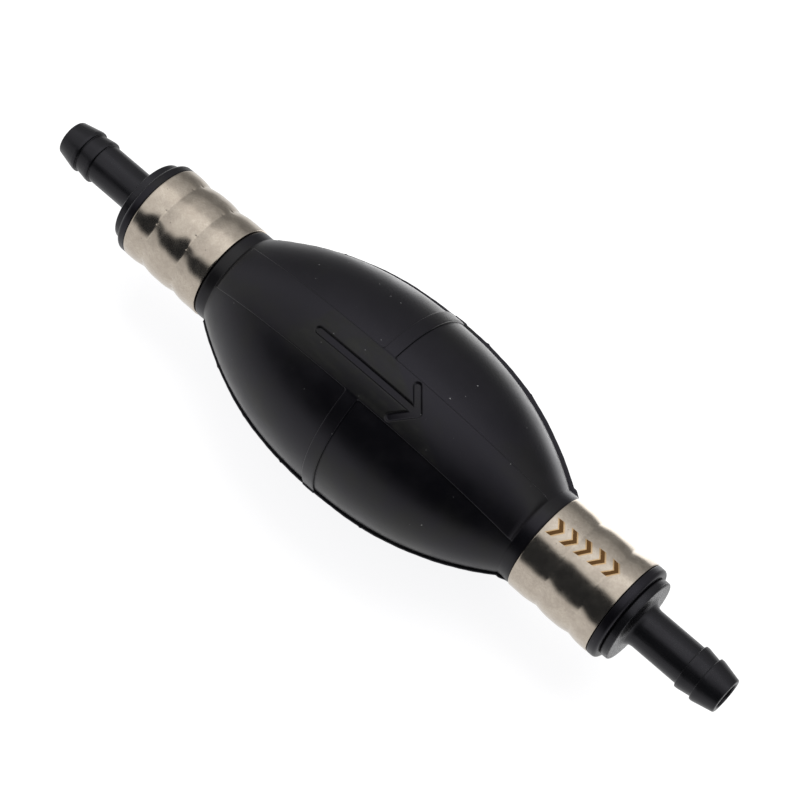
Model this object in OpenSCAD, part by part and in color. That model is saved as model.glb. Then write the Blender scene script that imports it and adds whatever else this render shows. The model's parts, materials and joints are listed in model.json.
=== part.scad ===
// In-line primer bulb for a fuel hose: a rubber bulb between two one-way valves.
// Fuel flows along +X, from the inlet end to the outlet end. The upper arrow band faces +Z.
// The origin is the centre of the bulb. Millimetres.

/* [Bulb] */
// Outside diameter of the bulb at its middle
bulb_d = 50; // [44:1:56]
// Length of the swollen part, from one neck to the other
bulb_l = 90.6; // [84:0.2:100]
// Diameter where the swollen part meets a neck
shoulder_d = 24.4; // [24.2:0.1:25.4]
// Power of the side outline: 2 is a parabola, and more is fuller in the middle
fullness = 2.3; // [2:0.05:2.6]
// Rubber thickness of the wall
wall_t = 3; // [2.6:0.1:3.4]

/* [Moulded bands and arrow] */
// Width of the raised band that runs from neck to neck
band_w = 12; // [8:0.5:14]
// Height of that band above the bulb
band_h = 0.6; // [0.3:0.1:1]
// Width of the raised band around the middle
girth_w = 3.4; // [2:0.2:6]
// Height of that band above the bulb
girth_h = 0.5; // [0.3:0.1:0.8]
// Length of the flow arrow
arrow_l = 31; // [22:0.2:34]
// Width of the arrow's strokes
stroke_w = 1.7; // [1:0.1:2]
// Length of the arrow's head, along the flow
head_l = 4.2; // [3:0.1:6]
// Half width of the arrow's head, across the band
head_w = 4.5; // [3:0.1:5]
// Depth of the arrow in the band
arrow_h = 0.5; // [0.3:0.1:0.8]
// Height of the flash on the parting line
flash_h = 0.5; // [0.3:0.1:0.8]
// Thickness of that flash
flash_t = 0.8; // [0.4:0.1:1.2]

/* [Squeeze walls] */
// Length of the part of the wall that is squeezed in
squeeze_l = 64; // [50:1:68]
// Width of the part of the wall that is squeezed in
squeeze_w = 33; // [24:1:34]
// Clearance between a squeezed wall and the rest of the bulb
squeeze_gap = 0.15; // [0.1:0.05:0.4]

/* [Necks and ferrules] */
// Length of neck that shows between the bulb and a ferrule
neck_gap = 3.2; // [2:0.1:4]
// Length of a ferrule
ferrule_l = 22.8; // [18:0.2:26]
// Outside diameter of a ferrule
ferrule_d = 24.8; // [24.4:0.1:25.6]
// Thickness of the ferrule's sheet
ferrule_t = 0.6; // [0.4:0.1:0.8]
// Depth of the two crimp grooves
crimp_h = 0.5; // [0.2:0.1:0.7]
// Length of the rubber lip outside a ferrule
lip_l = 2.5; // [2:0.1:4]
// Outside diameter of that lip
lip_d = 24.6; // [24:0.1:25.4]

/* [Hose barb fittings] */
// Diameter of the flange that closes the neck
flange_d = 21.4; // [20:0.2:23]
// Thickness of that flange
flange_t = 2.2; // [1.6:0.1:3]
// Diameter of the stem behind the barbs
stem_d = 10.1; // [9.6:0.02:10.4]
// Length of the stem, from the flange to the barbs
stem_l = 14.7; // [10:0.1:24]
// Diameter of the two barbs, for a hose of 9.5 mm (3/8 in) bore
barb_d = 11.24; // [10.8:0.02:11.8]
// Length of the flat crest of each barb
crest_l = 0.8; // [0.4:0.1:1.2]
// Length of the cone of the barb next to the stem
rear_cone_l = 3.4; // [2.5:0.1:5]
// Length of the cone of the barb at the tip
tip_cone_l = 5.1; // [4:0.1:7]
// Diameter of the tip
tip_d = 8.9; // [8.2:0.02:9.2]
// Diameter of the fuel passage
bore_d = 6.5; // [5:0.1:7]

/* [One-way valves] */
// Outside diameter of a valve housing
housing_d = 14.34; // [14:0.02:14.6]
// Length of a valve housing
housing_l = 16.6; // [16:0.1:18]
// Diameter of the hole in the valve seat
seat_d = 6.8; // [6.4:0.1:7]
// Diameter of the poppet's stem
valve_stem_d = 2.4; // [2:0.1:2.6]
// How far a poppet lifts
lift = 2.4; // [1.6:0.1:2.6]
// Diameter of the spring's wire
wire_d = 0.6; // [0.4:0.05:0.7]
// Working coils of the spring, without its closed end coils
coils = 4; // [3:1:5]

/* [Hidden] */

rubber = "#1c1c20";
nylon = "#232326";
stainless = "#b9b1a6";
acetal = "#e4e2da";
nitrile = "#2b2b2b";
spring_steel = "#c9ccd0";

$fn = 96;
fit_gap = 0.02;      // between pieces that are pressed or crimped together
running_gap = 0.05;  // between a stem and the hole it slides in
past = 1;            // how far a cutting shape runs past the surface it cuts

// Stations along +X, from the bulb's centre to the tip
bulb_end = bulb_l / 2;
ferrule_in = bulb_end + neck_gap;
ferrule_out = ferrule_in + ferrule_l;
neck_end = ferrule_out + lip_l;
flange_face = neck_end + flange_t;
barb_start = flange_face + stem_l;
barb_step = barb_start + crest_l + rear_cone_l;
tip_cone = barb_step + crest_l;
tip = tip_cone + tip_cone_l;

// Bulb
outline_steps = 20;
neck_bore_r = shoulder_d / 2 - wall_t;
neck_r = ferrule_d / 2 - ferrule_t - fit_gap;
lip_round = 1;
round_steps = 6;
groove_steps = 12;
crimp_at = [0.34, 0.755];  // middles of the two crimps, as shares of the ferrule from the bulb's side
arrow_x = -16.2;

// The fitting's spigot inside the neck
spigot_in = bulb_end + 1.5;
spigot_r = neck_bore_r - fit_gap;
ribs = 4;
rib_h = 0.45;
rib_l = 4;
rib_pitch = 5.8;
stem_fillet = 2.3;
edge = 0.3;
chamber_in = 0.35;    // axial length of the snap lip at the chamber's mouth
snap_h = 0.25;
chamber_r = housing_d / 2 + 0.03;
chamber_l = housing_l + 0.1;
funnel_l = 3.5;

// The valve, with u measured along the flow from the housing's upstream face
seat_wall = 3.6;
seat_cone = 1.4;
housing_wall = 0.87;
housing_bore_r = housing_d / 2 - housing_wall;
ring_groove = [0.9, 1.8];  // start and width of the O-ring's groove
ring_r = 0.61;
ring_groove_h = 1.22;
seal_r = 0.65;
seal_over = 0.35;          // from the edge of the seat's hole to the seal ring's middle
seal_mid_r = seat_d / 2 + seal_over;
// The seal ring closes on the 45 degree seat cone
seal_u = seat_wall - seat_cone + seal_over + sqrt(2) * (seal_r + fit_gap);
nose_r = seal_mid_r - seal_r - fit_gap;
nose_lip = seat_d / 2 - 0.1;
poppet_r = 4.9;
poppet_back = seal_u + seal_r + 1.2;
coil_r = 2.7;
hub_r = coil_r - wire_d / 2 - 0.15;
hub_u = 11.4;
shoulder_u = hub_u - lift - running_gap;
stem_end_u = 14.6;
retainer_u = 13;
retainer_l = 2;
retainer_rim = 1.1;
legs = 3;
leg_w = 1.3;
snap_u = 13.6;
snap_l = 0.8;
wire_sides = 8;
steps_a_turn = 20;

inlet_u = -(spigot_in + chamber_in + housing_l + 0.05);
outlet_u = spigot_in + chamber_in + 0.05;

// Points of an arc about the centre c
function arc(c, r, from, to) =
    [for (i = [0:round_steps]) let (a = from + (to - from) * i / round_steps)
        c + r * [cos(a), sin(a)]];

// The bulb's outside radius at x
function bulb_r(x) =
    bulb_d / 2 - (bulb_d - shoulder_d) / 2 * pow(abs(x) / bulb_end, fullness);

// The bulb's outline, moved out by grow
function bulb_outline(grow) =
    [for (i = [-outline_steps:outline_steps]) let (x = bulb_end * i / outline_steps)
        [bulb_r(x) + grow, x]];

// One crimp groove, with a crease at its bottom and a third of the ferrule long
function groove(middle, r) =
    [for (i = [0:groove_steps]) let (t = 2 * i / groove_steps - 1)
        [r - crimp_h * (1 - sin(90 * abs(t))), middle + t * ferrule_l / 6]];

// The wavy side of a ferrule, or of the rubber under it, at the radius r
function crimped(r) = concat(
    [[r, ferrule_in]],
    groove(ferrule_in + crimp_at[0] * ferrule_l, r),
    groove(ferrule_in + crimp_at[1] * ferrule_l, r),
    [[r, ferrule_out]]);

// The outside of the spigot, with its saw-tooth ribs, grown by gap
function spigot(gap) = concat(
    [[spigot_r + gap, spigot_in - gap]],
    [for (i = [0:ribs - 1], p = [[0, 0], [rib_h, rib_l], [0, rib_l]])
        [spigot_r + gap + p.x, spigot_in + 1.2 + i * rib_pitch + p.y]],
    [[spigot_r + gap, neck_end + fit_gap]]);

// Turns [radius, x] points about the X axis
module turned(points) rotate([0, 90, 0]) rotate_extrude() polygon(points);

// Turns an outline and fills it to the axis
module turned_solid(outline) turned(concat([[0, outline[0].y]], outline, [[0, outline[len(outline) - 1].y]]));

// Puts a piece that is modelled at the +X end at both ends or at one
module at_inlet() mirror([1, 0, 0]) children();

module neck_outside()
    turned_solid(concat(
        [[bulb_r(bulb_end), bulb_end - past], [bulb_r(bulb_end), ferrule_in - fit_gap]],
        [[neck_r, ferrule_in - fit_gap]],
        crimped(neck_r),
        [[lip_d / 2, ferrule_out + fit_gap]],
        arc([lip_d / 2 - lip_round, neck_end - lip_round], lip_round, 0, 90)));

// A straight stroke with round ends, between two points of the plan
module stroke(from, to) {
    a = atan2(to.y - from.y, to.x - from.x);
    polygon(concat(arc(from, stroke_w / 2, a + 90, a + 270), arc(to, stroke_w / 2, a - 90, a + 90)));
}

// The flow arrow, sunk in the upper band with its point towards the outlet
module arrow() {
    point = [arrow_x + arrow_l - stroke_w / 2, 0];
    difference() {
        translate([0, 0, bulb_r(arrow_x) - wall_t / 2]) linear_extrude(bulb_d / 2) {
            stroke([arrow_x + stroke_w / 2, 0], point - [stroke_w / 2, 0]);
            stroke(point, point + [-head_l, head_w]);
            stroke(point, point + [-head_l, -head_w]);
        }
        turned_solid(bulb_outline(band_h - arrow_h));
    }
}

module band() intersection() {
    turned_solid(bulb_outline(band_h));
    cube([bulb_l + 2 * past, band_w, bulb_d + 2 * past], center = true);
}

module girth() intersection() {
    turned_solid(bulb_outline(girth_h));
    cube([girth_w, bulb_d + 2 * past, bulb_d + 2 * past], center = true);
}

module flash() intersection() {
    turned_solid(bulb_outline(flash_h));
    cube([bulb_l + 2 * past, bulb_d + 2 * past, flash_t], center = true);
}

// The whole rubber moulding, before the squeezed walls are parted from it
module moulding() difference() {
    union() {
        turned_solid(bulb_outline(0));
        neck_outside();
        at_inlet() neck_outside();
        band();
        girth();
        flash();
    }
    turned_solid(bulb_outline(-wall_t));
    neck_bore();
    at_inlet() neck_bore();
    arrow();
    rotate([180, 0, 0]) arrow();
}

module neck_bore()
    turned_solid(concat(
        [[neck_bore_r, bulb_end - fit_gap]],
        spigot(fit_gap),
        [[spigot_r + fit_gap, neck_end + past]]));

// The plan of a squeezed wall, shrunk by gap on every side
module squeeze_plan(gap) {
    end_r = (squeeze_w - 2 * gap) / 2;
    straight = squeeze_l / 2 - gap - end_r;
    for (x = [-straight, straight]) translate([x, 0]) circle(end_r);
    square([2 * straight, 2 * end_r], center = true);
}

module bulb() color(rubber) difference() {
    moulding();
    translate([0, 0, -bulb_d]) linear_extrude(2 * bulb_d) squeeze_plan(0);
}

module upper_squeeze_wall() color(rubber) intersection() {
    moulding();
    linear_extrude(bulb_d) squeeze_plan(squeeze_gap);
}

module lower_squeeze_wall() color(rubber) intersection() {
    moulding();
    translate([0, 0, -bulb_d]) linear_extrude(bulb_d) squeeze_plan(squeeze_gap);
}

module ferrule() color(stainless)
    turned(concat(
        crimped(ferrule_d / 2),
        [for (i = [len(crimped(0)) - 1:-1:0]) crimped(ferrule_d / 2 - ferrule_t)[i]]));

// The moulded fitting: barbs, stem, flange, ribbed spigot and the chamber for the valve
module hose_barb() color(nylon) difference() {
    turned_solid(concat(
        spigot(0),
        [[flange_d / 2, neck_end + fit_gap], [flange_d / 2, flange_face - edge],
            [flange_d / 2 - edge, flange_face]],
        arc([stem_d / 2 + stem_fillet, flange_face + stem_fillet], stem_fillet, 270, 180),
        [[stem_d / 2, barb_start], [barb_d / 2, barb_start], [barb_d / 2, barb_start + crest_l],
            [stem_d / 2, barb_step], [barb_d / 2, barb_step], [barb_d / 2, tip_cone],
            [tip_d / 2, tip - edge], [tip_d / 2 - edge, tip]]));
    turned_solid([
        [chamber_r - snap_h, spigot_in - past],
        [chamber_r - snap_h, spigot_in + chamber_in],
        [chamber_r, spigot_in + chamber_in],
        [chamber_r, spigot_in + chamber_in + chamber_l],
        [housing_bore_r, spigot_in + chamber_in + chamber_l],
        [bore_d / 2, spigot_in + chamber_in + chamber_l + funnel_l],
        [bore_d / 2, tip - edge],
        [bore_d / 2 + edge, tip + fit_gap],
        [bore_d / 2 + edge, tip + past]]);
}

module valve_housing(u) color(acetal) translate([u, 0, 0]) turned([
    [seat_d / 2, 0],
    [housing_d / 2, 0],
    [housing_d / 2, ring_groove[0]],
    [housing_d / 2 - ring_groove_h, ring_groove[0]],
    [housing_d / 2 - ring_groove_h, ring_groove[0] + ring_groove[1]],
    [housing_d / 2, ring_groove[0] + ring_groove[1]],
    [housing_d / 2, housing_l],
    [housing_bore_r, housing_l],
    [housing_bore_r, snap_u + snap_l],
    [housing_bore_r + snap_h, snap_u + snap_l],
    [housing_bore_r + snap_h, snap_u],
    [housing_bore_r, snap_u],
    [housing_bore_r, seat_wall],
    [seat_d / 2 + seat_cone, seat_wall],
    [seat_d / 2, seat_wall - seat_cone]]);

module o_ring(u, mid_r, r) translate([u, 0, 0]) rotate([0, 90, 0])
    rotate_extrude() translate([mid_r, 0]) circle(r, $fn = 48);

module housing_o_ring(u) color(nitrile)
    o_ring(u + ring_groove[0] + ring_groove[1] / 2, housing_d / 2 - ring_groove_h + ring_r + fit_gap, ring_r);

module valve_poppet(u) color(acetal) translate([u, 0, 0]) turned_solid([
    [nose_r - 1.4, seal_u - 2.2],
    [nose_lip, seal_u - seal_r - 0.6],
    [nose_lip, seal_u - seal_r - fit_gap],
    [nose_r, seal_u - seal_r - fit_gap],
    [nose_r, seal_u + seal_r + fit_gap],
    [poppet_r, seal_u + seal_r + fit_gap],
    [poppet_r, poppet_back],
    [hub_r - 0.3, poppet_back],
    [hub_r - 0.3, shoulder_u],
    [valve_stem_d / 2, shoulder_u],
    [valve_stem_d / 2, stem_end_u - edge],
    [valve_stem_d / 2 - edge, stem_end_u]]);

module poppet_seal(u) color(nitrile) o_ring(u + seal_u, seal_mid_r, seal_r);

// The spider that holds the spring and guides the poppet's stem
module spring_retainer(u) color(acetal) translate([u, 0, 0]) {
    rim_r = housing_bore_r - fit_gap;
    rim_in = rim_r - retainer_rim;
    leg_l = (rim_in + rim_r) / 2;
    difference() {
        union() {
            turned([
                [rim_in, retainer_u],
                [rim_r, retainer_u],
                [rim_r, snap_u + running_gap],
                [rim_r + snap_h - running_gap, snap_u + running_gap],
                [rim_r + snap_h - running_gap, snap_u + snap_l - running_gap],
                [rim_r, snap_u + snap_l - running_gap],
                [rim_r, retainer_u + retainer_l],
                [rim_in, retainer_u + retainer_l]]);
            turned_solid([[hub_r, hub_u], [hub_r, retainer_u + retainer_l]]);
            for (i = [0:legs - 1]) rotate([i * 360 / legs, 0, 0])
                translate([retainer_u, -leg_w / 2, 0]) cube([retainer_l, leg_w, leg_l]);
        }
        turned_solid([
            [valve_stem_d / 2 + running_gap, hub_u - past],
            [valve_stem_d / 2 + running_gap, retainer_u + retainer_l + past]]);
    }
}

// Compression spring with one closed coil at each end, from the poppet to the retainer
module valve_spring(u) color(spring_steel) {
    wire_r = wire_d / 2;
    from = poppet_back + wire_r + fit_gap;
    to = retainer_u - wire_r - fit_gap;
    closed = wire_d + fit_gap;
    pitch = (to - from - 2 * closed) / coils;
    turns = coils + 2;
    n = turns * steps_a_turn;
    axial = function (t) from + closed * (min(t, 1) + max(t - turns + 1, 0))
        + pitch * min(max(t - 1, 0), coils);
    points = [for (i = [0:n], j = [0:wire_sides - 1])
        let (a = 360 * i / steps_a_turn, b = 360 * j / wire_sides, r = coil_r + wire_r * cos(b))
            [u + axial(i / steps_a_turn) + wire_r * sin(b), r * cos(a), r * sin(a)]];
    sides = [for (i = [0:n - 1], j = [0:wire_sides - 1])
        let (k = i * wire_sides, m = (j + 1) % wire_sides)
            [k + j, k + m, k + m + wire_sides, k + j + wire_sides]];
    ends = [[for (j = [wire_sides - 1:-1:0]) j], [for (j = [0:wire_sides - 1]) n * wire_sides + j]];
    polyhedron(points, concat(sides, ends));
}

bulb();
upper_squeeze_wall();
lower_squeeze_wall();
at_inlet() ferrule();  // inlet_ferrule
ferrule();  // outlet_ferrule
at_inlet() hose_barb();  // inlet_hose_barb
hose_barb();  // outlet_hose_barb
valve_housing(inlet_u);  // inlet_valve_housing
valve_housing(outlet_u);  // outlet_valve_housing
housing_o_ring(inlet_u);  // inlet_housing_o_ring
housing_o_ring(outlet_u);  // outlet_housing_o_ring
valve_poppet(inlet_u);  // inlet_valve_poppet
valve_poppet(outlet_u);  // outlet_valve_poppet
poppet_seal(inlet_u);  // inlet_poppet_seal
poppet_seal(outlet_u);  // outlet_poppet_seal
valve_spring(inlet_u);  // inlet_valve_spring
valve_spring(outlet_u);  // outlet_valve_spring
spring_retainer(inlet_u);  // inlet_spring_retainer
spring_retainer(outlet_u);  // outlet_spring_retainer
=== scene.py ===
import json
import math

import bpy
import numpy as np
from mathutils import Matrix, Vector


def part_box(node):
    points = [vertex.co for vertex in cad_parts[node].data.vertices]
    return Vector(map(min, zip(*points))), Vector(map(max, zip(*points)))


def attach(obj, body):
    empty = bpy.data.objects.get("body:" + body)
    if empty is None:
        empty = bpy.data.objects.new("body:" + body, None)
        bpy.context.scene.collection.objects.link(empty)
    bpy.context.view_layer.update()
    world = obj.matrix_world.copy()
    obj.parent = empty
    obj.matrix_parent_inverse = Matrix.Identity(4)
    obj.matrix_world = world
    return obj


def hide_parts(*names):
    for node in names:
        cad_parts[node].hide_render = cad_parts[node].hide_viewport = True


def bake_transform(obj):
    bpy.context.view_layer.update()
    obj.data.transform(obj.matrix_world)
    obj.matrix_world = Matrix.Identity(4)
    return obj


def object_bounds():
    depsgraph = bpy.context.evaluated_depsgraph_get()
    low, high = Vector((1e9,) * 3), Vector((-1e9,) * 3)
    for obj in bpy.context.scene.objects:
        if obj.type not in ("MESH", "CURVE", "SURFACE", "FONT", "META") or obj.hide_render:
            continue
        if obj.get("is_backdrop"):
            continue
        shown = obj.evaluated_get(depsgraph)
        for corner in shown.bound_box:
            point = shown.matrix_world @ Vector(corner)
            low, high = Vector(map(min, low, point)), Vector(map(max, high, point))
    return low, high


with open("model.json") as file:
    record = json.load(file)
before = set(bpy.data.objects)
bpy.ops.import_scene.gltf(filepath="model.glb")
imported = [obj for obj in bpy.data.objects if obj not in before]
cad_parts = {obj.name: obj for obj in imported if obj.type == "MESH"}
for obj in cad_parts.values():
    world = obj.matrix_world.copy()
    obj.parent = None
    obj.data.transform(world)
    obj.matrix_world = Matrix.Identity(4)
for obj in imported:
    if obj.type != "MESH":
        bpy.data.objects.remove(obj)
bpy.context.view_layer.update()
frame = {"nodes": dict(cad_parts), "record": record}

# Looks for an in-line primer bulb. Mesh code works in millimetres in the CAD frame: +X is the
# flow, +Z the upper arrow band, and the origin is the bulb's centre.

MM = 0.001


def box_mm(node):
    lo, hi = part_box(node)
    return lo / MM, hi / MM


# ---------------------------------------------------------------- sizes taken from the CAD
ferrule_lo, ferrule_hi = box_mm("outlet_ferrule")
bulb_hi = box_mm("bulb")[1]
barb_lo, barb_hi = box_mm("outlet_hose_barb")
housing_lo, housing_hi = box_mm("outlet_valve_housing")
barb_mount = next(m for m in frame["record"]["mounts"] if m["name"] == "outlet_barb")

FERRULE_IN, FERRULE_OUT, FERRULE_R = ferrule_lo.x, ferrule_hi.x, ferrule_hi.y
FERRULE_LENGTH = FERRULE_OUT - FERRULE_IN
NECK_END = bulb_hi.x
TIP = barb_hi.x
SPIGOT_IN = barb_lo.x
FLANGE_R = barb_hi.y
HOUSING_R = housing_hi.y
HOUSING_LENGTH = housing_hi.x - housing_lo.x
BARB_R = barb_mount["dims"]["r_mm"]

# ---------------------------------------------------------------- sizes of the rubber moulding
FLASH = 0.5                      # height of the flash on the parting line in the CAD
BULB_R = bulb_hi.y - FLASH
BULB_END = FERRULE_IN - 3.2      # where the swollen part ends and a neck begins
SHOULDER_R = 12.2                # radius there
FULLNESS = 2.3                   # power of the side outline
WALL = 3.0
LIP_R = 12.3
FIT_GAP = 0.02                   # between pieces that are pressed together
BAND, BAND_HALF = 0.6, 6.0       # height and half width of the long band
GIRTH, GIRTH_HALF = 0.5, 1.7     # the same for the band round the middle
ARROW_TAIL, ARROW_LENGTH, ARROW_DEPTH = -16.2, 31.0, 0.5
STROKE = 1.7                     # width of the arrow's strokes
HEAD = (4.2, 4.5)                # run of the head's strokes along and across the flow
STEP = 0.10                      # half the run of a moulded edge

# ---------------------------------------------------------------- sizes of the ferrules
SHEET = 0.6
CRIMP = 0.5                      # depth of the crimp grooves
CRIMP_AT = (0.34, 0.755)         # their shares of the ferrule, from the bulb's side
CRIMP_HALF = FERRULE_LENGTH / 6
NECK_R = FERRULE_R - SHEET - FIT_GAP
JAWS, JAW_GAP_HALF = 6, math.radians(8.6)

# ---------------------------------------------------------------- sizes of the fittings
SPIGOT_R = SHOULDER_R - WALL - FIT_GAP
RIBS, RIB_START, RIB_PITCH, RIB_LENGTH, RIB = 4, 1.2, 5.8, 4.0, 0.45
FLANGE_FACE = NECK_END + 2.2
STEM_R, STEM_FILLET = 5.05, 2.3
CREST, REAR_CONE, TIP_CONE, TIP_R = 0.8, 3.4, 5.1, 4.45
TIP_CREST = TIP - TIP_CONE       # where the flat crest nearest the tip ends
REAR_CREST = TIP_CREST - CREST - REAR_CONE - CREST
BORE_R = 3.25
CHAMBER_R = HOUSING_R + 0.03
CHAMBER_IN = SPIGOT_IN + 0.35
CHAMBER_OUT = CHAMBER_IN + HOUSING_LENGTH + 0.1
HOUSING_WALL, SNAP, FUNNEL = 0.87, 0.25, 3.5


def smooth(t):
    t = np.clip(t, 0.0, 1.0)
    return t * t * (3 - 2 * t)


def inside(distance, half_run=STEP):
    """1 inside an outline and 0 outside it, from the signed distance to it."""
    return smooth(0.5 - distance / (2 * half_run))


def ledge(distance, height, rounding=0.26, run=0.05):
    """Share of the full height at a moulded edge that is rounded on top and steep below."""
    top = rounding / height
    over = np.clip((distance + rounding) / rounding, 0, 1)
    curve = 1 - top * (1 - np.sqrt(1 - over ** 2))
    return np.where(distance < 0, curve, (1 - top) * (1 - smooth(distance / run)))


def bulb_radius(x):
    return BULB_R - (BULB_R - SHOULDER_R) * (np.abs(x) / BULB_END) ** FULLNESS


def crimp_depth(x):
    """Depth of the two crimp grooves at a distance x from the bulb's centre, with a crease in each."""
    depth = np.zeros_like(x)
    for share in CRIMP_AT:
        t = np.abs(np.abs(x) - (FERRULE_IN + share * FERRULE_LENGTH)) / CRIMP_HALF
        depth += np.where(t < 1, CRIMP * (1 - np.sin(np.clip(t, 0, 1) * math.pi / 2)), 0)
    return depth


# ---------------------------------------------------------------- mesh building
def new_object(name, points, faces, material, sharp, attributes=None):
    """A smooth mesh object from points in millimetres. Edges over sharp degrees stay crisp."""
    mesh = bpy.data.meshes.new(name)
    mesh.from_pydata((np.asarray(points) * MM).tolist(), [], faces)
    mesh.polygons.foreach_set("use_smooth", [True] * len(mesh.polygons))
    mesh.set_sharp_from_angle(angle=math.radians(sharp))
    for key, values in (attributes or {}).items():
        layer = mesh.attributes.new(key, "FLOAT", "POINT")
        layer.data.foreach_set("value", np.asarray(values, np.float32))
    mesh.materials.append(material)
    mesh.update()
    o = bpy.data.objects.new(name, mesh)
    bpy.context.scene.collection.objects.link(o)
    return o


def sheet_faces(n, m, rows, cols):
    """Faces of a closed sheet: an outer grid of n by m points, then an inner grid whose lines sit
    under the outer lines named in rows and cols, and the four rims between them."""
    k, l = len(rows), len(cols)

    def outer(i, j):
        return i * m + j

    def inner(a, b):
        return n * m + a * l + b

    faces = [(outer(i, j), outer(i + 1, j), outer(i + 1, j + 1), outer(i, j + 1))
             for i in range(n - 1) for j in range(m - 1)]
    faces += [(inner(a, b), inner(a, b + 1), inner(a + 1, b + 1), inner(a + 1, b))
              for a in range(k - 1) for b in range(l - 1)]
    for a in range(k - 1):
        run = range(rows[a], rows[a + 1] + 1)
        faces.append([outer(i, 0) for i in reversed(run)] + [inner(a, 0), inner(a + 1, 0)])
        faces.append([outer(i, m - 1) for i in run] + [inner(a + 1, l - 1), inner(a, l - 1)])
    for b in range(l - 1):
        run = range(cols[b], cols[b + 1] + 1)
        faces.append([outer(0, j) for j in run] + [inner(0, b + 1), inner(0, b)])
        faces.append([outer(n - 1, j) for j in reversed(run)] + [inner(k - 1, b), inner(k - 1, b + 1)])
    return faces


def revolve(name, loop, material, sides, sharp, shift=None):
    """Turns a closed loop of (x, radius) about the X axis. shift(x, angle) is added to the radius."""
    x, r = np.array(loop).T
    angle = np.arange(sides) * 2 * math.pi / sides
    xx, aa = np.meshgrid(x, angle, indexing="ij")
    rr = np.repeat(r[:, None], sides, axis=1)
    if shift:
        rr = rr + shift(xx, aa)
    points = np.stack([xx, rr * np.sin(aa), rr * np.cos(aa)], axis=-1).reshape(-1, 3)
    n = len(x)
    faces = [(i * sides + j, (i + 1) % n * sides + j,
              (i + 1) % n * sides + (j + 1) % sides, i * sides + (j + 1) % sides)
             for i in range(n) for j in range(sides)]
    return new_object(name, points, faces, material, sharp)


def rounded(corners):
    """A closed loop from (x, radius, rounding) corners, each corner turned into an arc."""
    loop = []
    count = len(corners)
    straight, longest_cut, arc_step = math.radians(88), 0.46, math.radians(12)
    for i in range(count):
        before, here, after = (Vector(corners[(i + d) % count][:2]) for d in (-1, 0, 1))
        rounding = corners[i][2]
        u, v = (before - here), (after - here)
        lu, lv = u.length, v.length
        u.normalize()
        v.normalize()
        half = math.acos(max(-1.0, min(1.0, u.dot(v)))) / 2
        if half > straight:
            loop.append(tuple(here))
            continue
        cut = min(rounding / math.tan(half), longest_cut * lu, longest_cut * lv)
        size = cut * math.tan(half)
        centre = here + (u + v).normalized() * (size / math.sin(half))
        start, end = here + u * cut - centre, here + v * cut - centre
        turn = math.atan2(start.x * end.y - start.y * end.x, start.dot(end))
        steps = max(2, round(abs(turn) / arc_step))
        for s in range(steps + 1):
            a = turn * s / steps
            loop.append((centre.x + start.x * math.cos(a) - start.y * math.sin(a),
                         centre.y + start.x * math.sin(a) + start.y * math.cos(a)))
    return loop


def mirrored(loop):
    """The same closed loop of (x, radius) at the other end of the bulb."""
    return [(-x, r) for x, r in reversed(loop)]


def spans(*parts):
    """Stations from (from, to, spacing) spans."""
    values = []
    for start, stop, step in parts:
        values += np.linspace(start, stop, max(1, round((stop - start) / step)) + 1).tolist()
    return values


def tidy(values, gap=0.02):
    """Sorted stations, without those that lie within gap of the one before."""
    kept = []
    for v in sorted(values):
        if not kept or v - kept[-1] > gap:
            kept.append(v)
    return np.array(kept)


# ---------------------------------------------------------------- node materials
def add(tree, kind, inputs=None, **settings):
    """A new node. An input is a plain value, or another node's socket to link to."""
    node = tree.nodes.new(kind)
    for key, value in settings.items():
        setattr(node, key, value)
    for key, value in (inputs or {}).items():
        if isinstance(value, bpy.types.NodeSocket):
            tree.links.new(value, node.inputs[key])
        else:
            node.inputs[key].default_value = value
    return node


def maths(tree, operation, *values, clamp=False):
    node = add(tree, "ShaderNodeMath", dict(enumerate(values)), operation=operation, use_clamp=clamp)
    return node.outputs[0]


def remap(tree, value, low, high, to_low=0.0, to_high=1.0, kind="SMOOTHSTEP"):
    node = add(tree, "ShaderNodeMapRange",
               {"Value": value, "From Min": low, "From Max": high, "To Min": to_low, "To Max": to_high},
               interpolation_type=kind)
    return node.outputs["Result"]


def mix(tree, factor, a, b):
    node = add(tree, "ShaderNodeMix", data_type="RGBA")
    for index, value in ((0, factor), (6, a), (7, b)):
        if isinstance(value, bpy.types.NodeSocket):
            tree.links.new(value, node.inputs[index])
        else:
            node.inputs[index].default_value = value
    return node.outputs[2]


def noise(tree, where, scale, detail=2.0, rough=0.5):
    node = add(tree, "ShaderNodeTexNoise",
               {"Vector": where, "Scale": scale, "Detail": detail, "Roughness": rough})
    return node.outputs["Fac"]


def material(name):
    m = bpy.data.materials.new(name)
    m.use_nodes = True
    tree = m.node_tree
    place = add(tree, "ShaderNodeTexCoord").outputs["Object"]
    return m, tree, tree.nodes["Principled BSDF"], place


def colour(r, g, b):
    return (r, g, b, 1.0)


def bump(tree, height, strength, distance, under=None):
    inputs = {"Height": height, "Strength": strength, "Distance": distance}
    if under is not None:
        inputs["Normal"] = under
    return add(tree, "ShaderNodeBump", inputs).outputs["Normal"]


def plug(tree, shader, **inputs):
    for key, value in inputs.items():
        socket = shader.inputs[key.replace("_", " ")]
        if isinstance(value, bpy.types.NodeSocket):
            tree.links.new(value, socket)
        else:
            socket.default_value = value


def specks(tree, where, scale, size):
    """Small specks where a cell's point lies near the surface."""
    cells = add(tree, "ShaderNodeTexVoronoi", {"Vector": where, "Scale": scale})
    return remap(tree, cells.outputs["Distance"], size, size * 0.5)


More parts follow.
